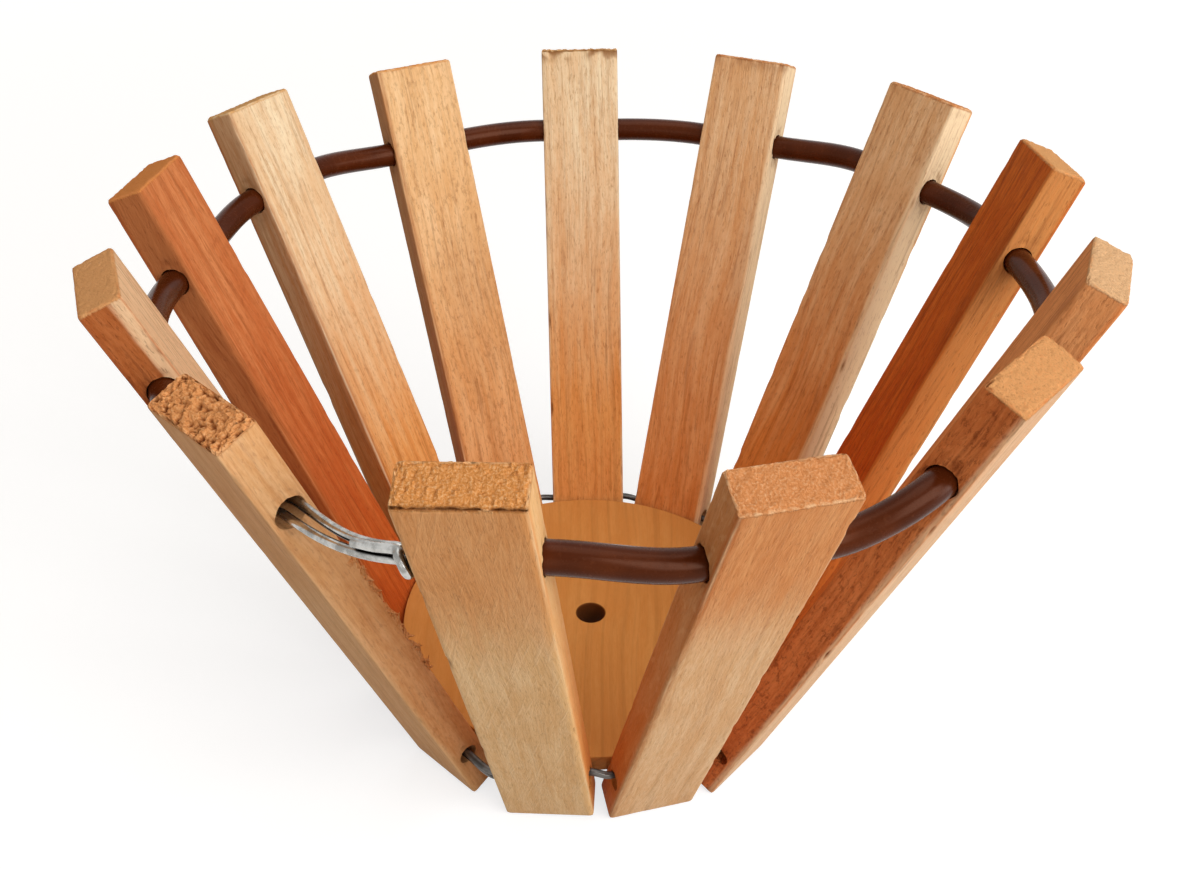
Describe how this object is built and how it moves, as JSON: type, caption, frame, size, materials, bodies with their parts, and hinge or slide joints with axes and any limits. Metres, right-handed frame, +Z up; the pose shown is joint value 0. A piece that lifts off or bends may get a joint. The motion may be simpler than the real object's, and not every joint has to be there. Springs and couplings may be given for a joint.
{
  "type": "wooden cachepot",
  "caption": "Flared cachepot of sawn hardwood slats, strung on a brown hose and galvanised wires round a wooden base with a drain hole, to hold a plain plant pot.",
  "frame": {"origin": "on the pot's axis, on the floor it stands on", "axes": "+Z up along the pot's axis; -Y towards the picture's camera, +X to its right"},
  "size_m": [0.2531, 0.2511, 0.1691],
  "materials": {
    "straw_wood": "sawn, unfinished",
    "fawn_wood": "sawn, unfinished",
    "honey_wood": "sawn, unfinished",
    "amber_wood": "sawn, unfinished",
    "russet_wood": "sawn, unfinished",
    "umber_wood": "sawn, unfinished",
    "base_wood": "sanded, unfinished",
    "brown_plastic": "smooth, glossy",
    "galvanised_wire": "galvanised, bright"
  },
  "bodies": {
    "pot": {"slat_01": "fawn_wood", "slat_02": "russet_wood", "slat_03": "amber_wood", "slat_04": "straw_wood", "slat_05": "honey_wood", "slat_06": "straw_wood", "slat_07": "honey_wood", "slat_08": "fawn_wood", "slat_09": "russet_wood", "slat_10": "umber_wood", "slat_11": "russet_wood", "slat_12": "honey_wood", "slat_13": "fawn_wood", "rim_hose": "brown_plastic", "rim_wire": "galvanised_wire", "foot_wire": "galvanised_wire"},
    "base": {"base_disc": "base_wood"}
  },
  "joints": [
    {"name": "base_lift", "type": "slide", "parent": "pot", "child": "base", "axis": [0, 0, 1], "range_m": [0, 0.16]}
  ]
}
